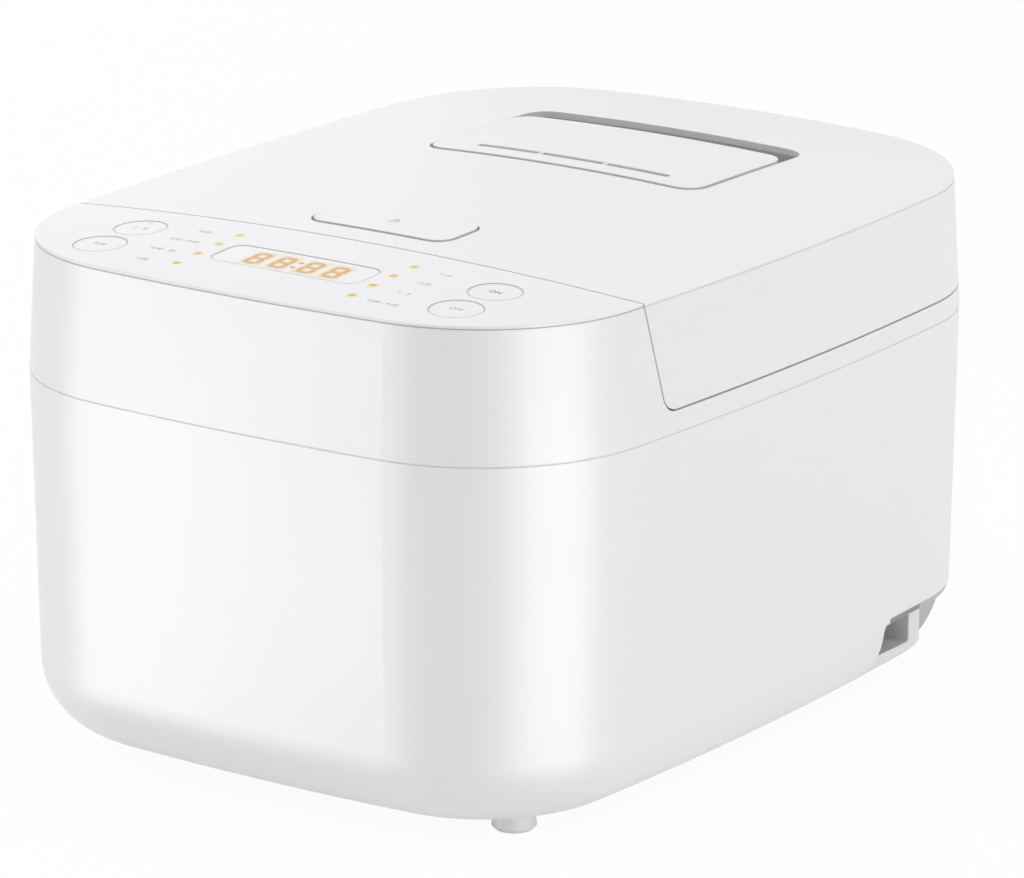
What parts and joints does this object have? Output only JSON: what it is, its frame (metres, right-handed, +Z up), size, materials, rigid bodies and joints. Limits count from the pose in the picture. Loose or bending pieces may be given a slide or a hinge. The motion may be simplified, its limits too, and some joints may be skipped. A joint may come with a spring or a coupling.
{
  "type": "rice cooker",
  "caption": "Table-top electric rice cooker with a hinged lid, sloping control panel, press keys, lift-out steam vent, removable pot and rear power inlet.",
  "frame": {"origin": "under the middle of the cooker, on the table its feet stand on", "axes": "+Z up, front towards -Y, the side with the power inlet towards +X"},
  "size_m": [0.258, 0.328, 0.1971],
  "materials": {
    "casing_white": "satin gloss",
    "foot_rubber": "matt",
    "liner_plastic": "matt",
    "grey_plastic": "matt",
    "steel": "plain",
    "chamber_steel": "satin",
    "plate_aluminium": "turned",
    "heater_steel": "heat-tinted",
    "pot_coating": "dark non-stick coating",
    "seal_rubber": "matt",
    "board_green": "satin",
    "component_black": "matt",
    "pin_brass": "bright",
    "window_clear": "gloss",
    "light_amber": "gloss",
    "latch_plastic": "matt"
  },
  "bodies": {
    "casing": {"outer_shell": "casing_white", "base_cover": "liner_plastic", "base_screws": "steel", "foot_front_left": "foot_rubber", "foot_front_right": "foot_rubber", "foot_rear_left": "foot_rubber", "foot_rear_right": "foot_rubber", "upper_frame": "casing_white", "inner_chamber": "chamber_steel", "chamber_screws": "steel", "heating_plate": "plate_aluminium", "heater_tube": "heater_steel", "plate_screws": "steel", "thermal_fuse": "component_black", "keep_warm_band": "heater_steel", "sensor_holder": "grey_plastic", "sensor_spring": "steel", "power_board": "board_green", "power_transformer": "component_black", "power_relay": "component_black", "filter_capacitor": "component_black", "power_inlet": "grey_plastic", "inlet_pins": "pin_brass", "control_panel": "casing_white", "display_window": "window_clear", "display_module": "component_black", "indicator_lights": "light_amber", "control_board": "board_green", "panel_screws": "steel", "key_switches": "component_black", "latch_catch": "steel", "hinge_pin": "steel", "hinge_spring": "steel"},
    "lid": {"lid_side": "casing_white", "lid_top": "casing_white", "lid_liner": "liner_plastic", "lid_screws": "steel", "inner_lid": "chamber_steel", "lid_seal": "seal_rubber", "lid_grommet": "seal_rubber", "lid_sensor": "plate_aluminium", "latch_pin": "steel", "latch_spring": "steel", "steam_seat": "grey_plastic", "steam_gasket": "seal_rubber"},
    "pot": {"inner_pot": "pot_coating"},
    "sensor": {"temperature_sensor": "plate_aluminium"},
    "button": {"release_button": "casing_white"},
    "latch": {"latch_hook": "latch_plastic"},
    "vent": {"steam_cap": "casing_white", "steam_cup": "grey_plastic"},
    "key_left_rear_body": {"key_left_rear": "casing_white"},
    "key_left_front_body": {"key_left_front": "casing_white"},
    "key_right_rear_body": {"key_right_rear": "casing_white"},
    "key_right_front_body": {"key_right_front": "casing_white"}
  },
  "joints": [
    {"name": "lid_hinge", "type": "hinge", "parent": "casing", "child": "lid", "pos_m": [0, 0.1547, 0.1591], "axis": [-1, 0, 0], "range_deg": [0, 85]},
    {"name": "button_press", "type": "hinge", "parent": "lid", "child": "button", "pos_m": [0, -0.0555, 0.18929], "axis": [1, 0, 0], "range_deg": [0, 5], "stiffness_Nm_per_rad": 0.6},
    {"name": "latch_swing", "type": "hinge", "parent": "lid", "child": "latch", "pos_m": [0, -0.066, 0.1757], "axis": [1, 0, 0], "range_deg": [0, 12]},
    {"name": "steam_lift", "type": "slide", "parent": "lid", "child": "vent", "axis": [0, 0, 1], "range_m": [0, 0.06]},
    {"name": "pot_turn", "type": "hinge", "parent": "casing", "child": "pot", "pos_m": [0, 0.0365, 0.1], "axis": [0, 0, 1], "continuous": true},
    {"name": "sensor_plunge", "type": "slide", "parent": "casing", "child": "sensor", "axis": [0, 0, -1], "range_m": [0, 0.002], "stiffness_N_per_m": 2500, "deforming": ["sensor_spring"]},
    {"name": "key_left_rear_press", "type": "slide", "parent": "casing", "child": "key_left_rear_body", "axis": [0, 0, -1], "range_m": [0, 0.0005], "stiffness_N_per_m": 3000},
    {"name": "key_left_front_press", "type": "slide", "parent": "casing", "child": "key_left_front_body", "axis": [0, 0, -1], "range_m": [0, 0.0005], "stiffness_N_per_m": 3000},
    {"name": "key_right_rear_press", "type": "slide", "parent": "casing", "child": "key_right_rear_body", "axis": [0, 0, -1], "range_m": [0, 0.0005], "stiffness_N_per_m": 3000},
    {"name": "key_right_front_press", "type": "slide", "parent": "casing", "child": "key_right_front_body", "axis": [0, 0, -1], "range_m": [0, 0.0005], "stiffness_N_per_m": 3000}
  ],
  "couplings": [
    {"joint": "latch_swing", "follows": "button_press", "ratio": 2.4}
  ]
}
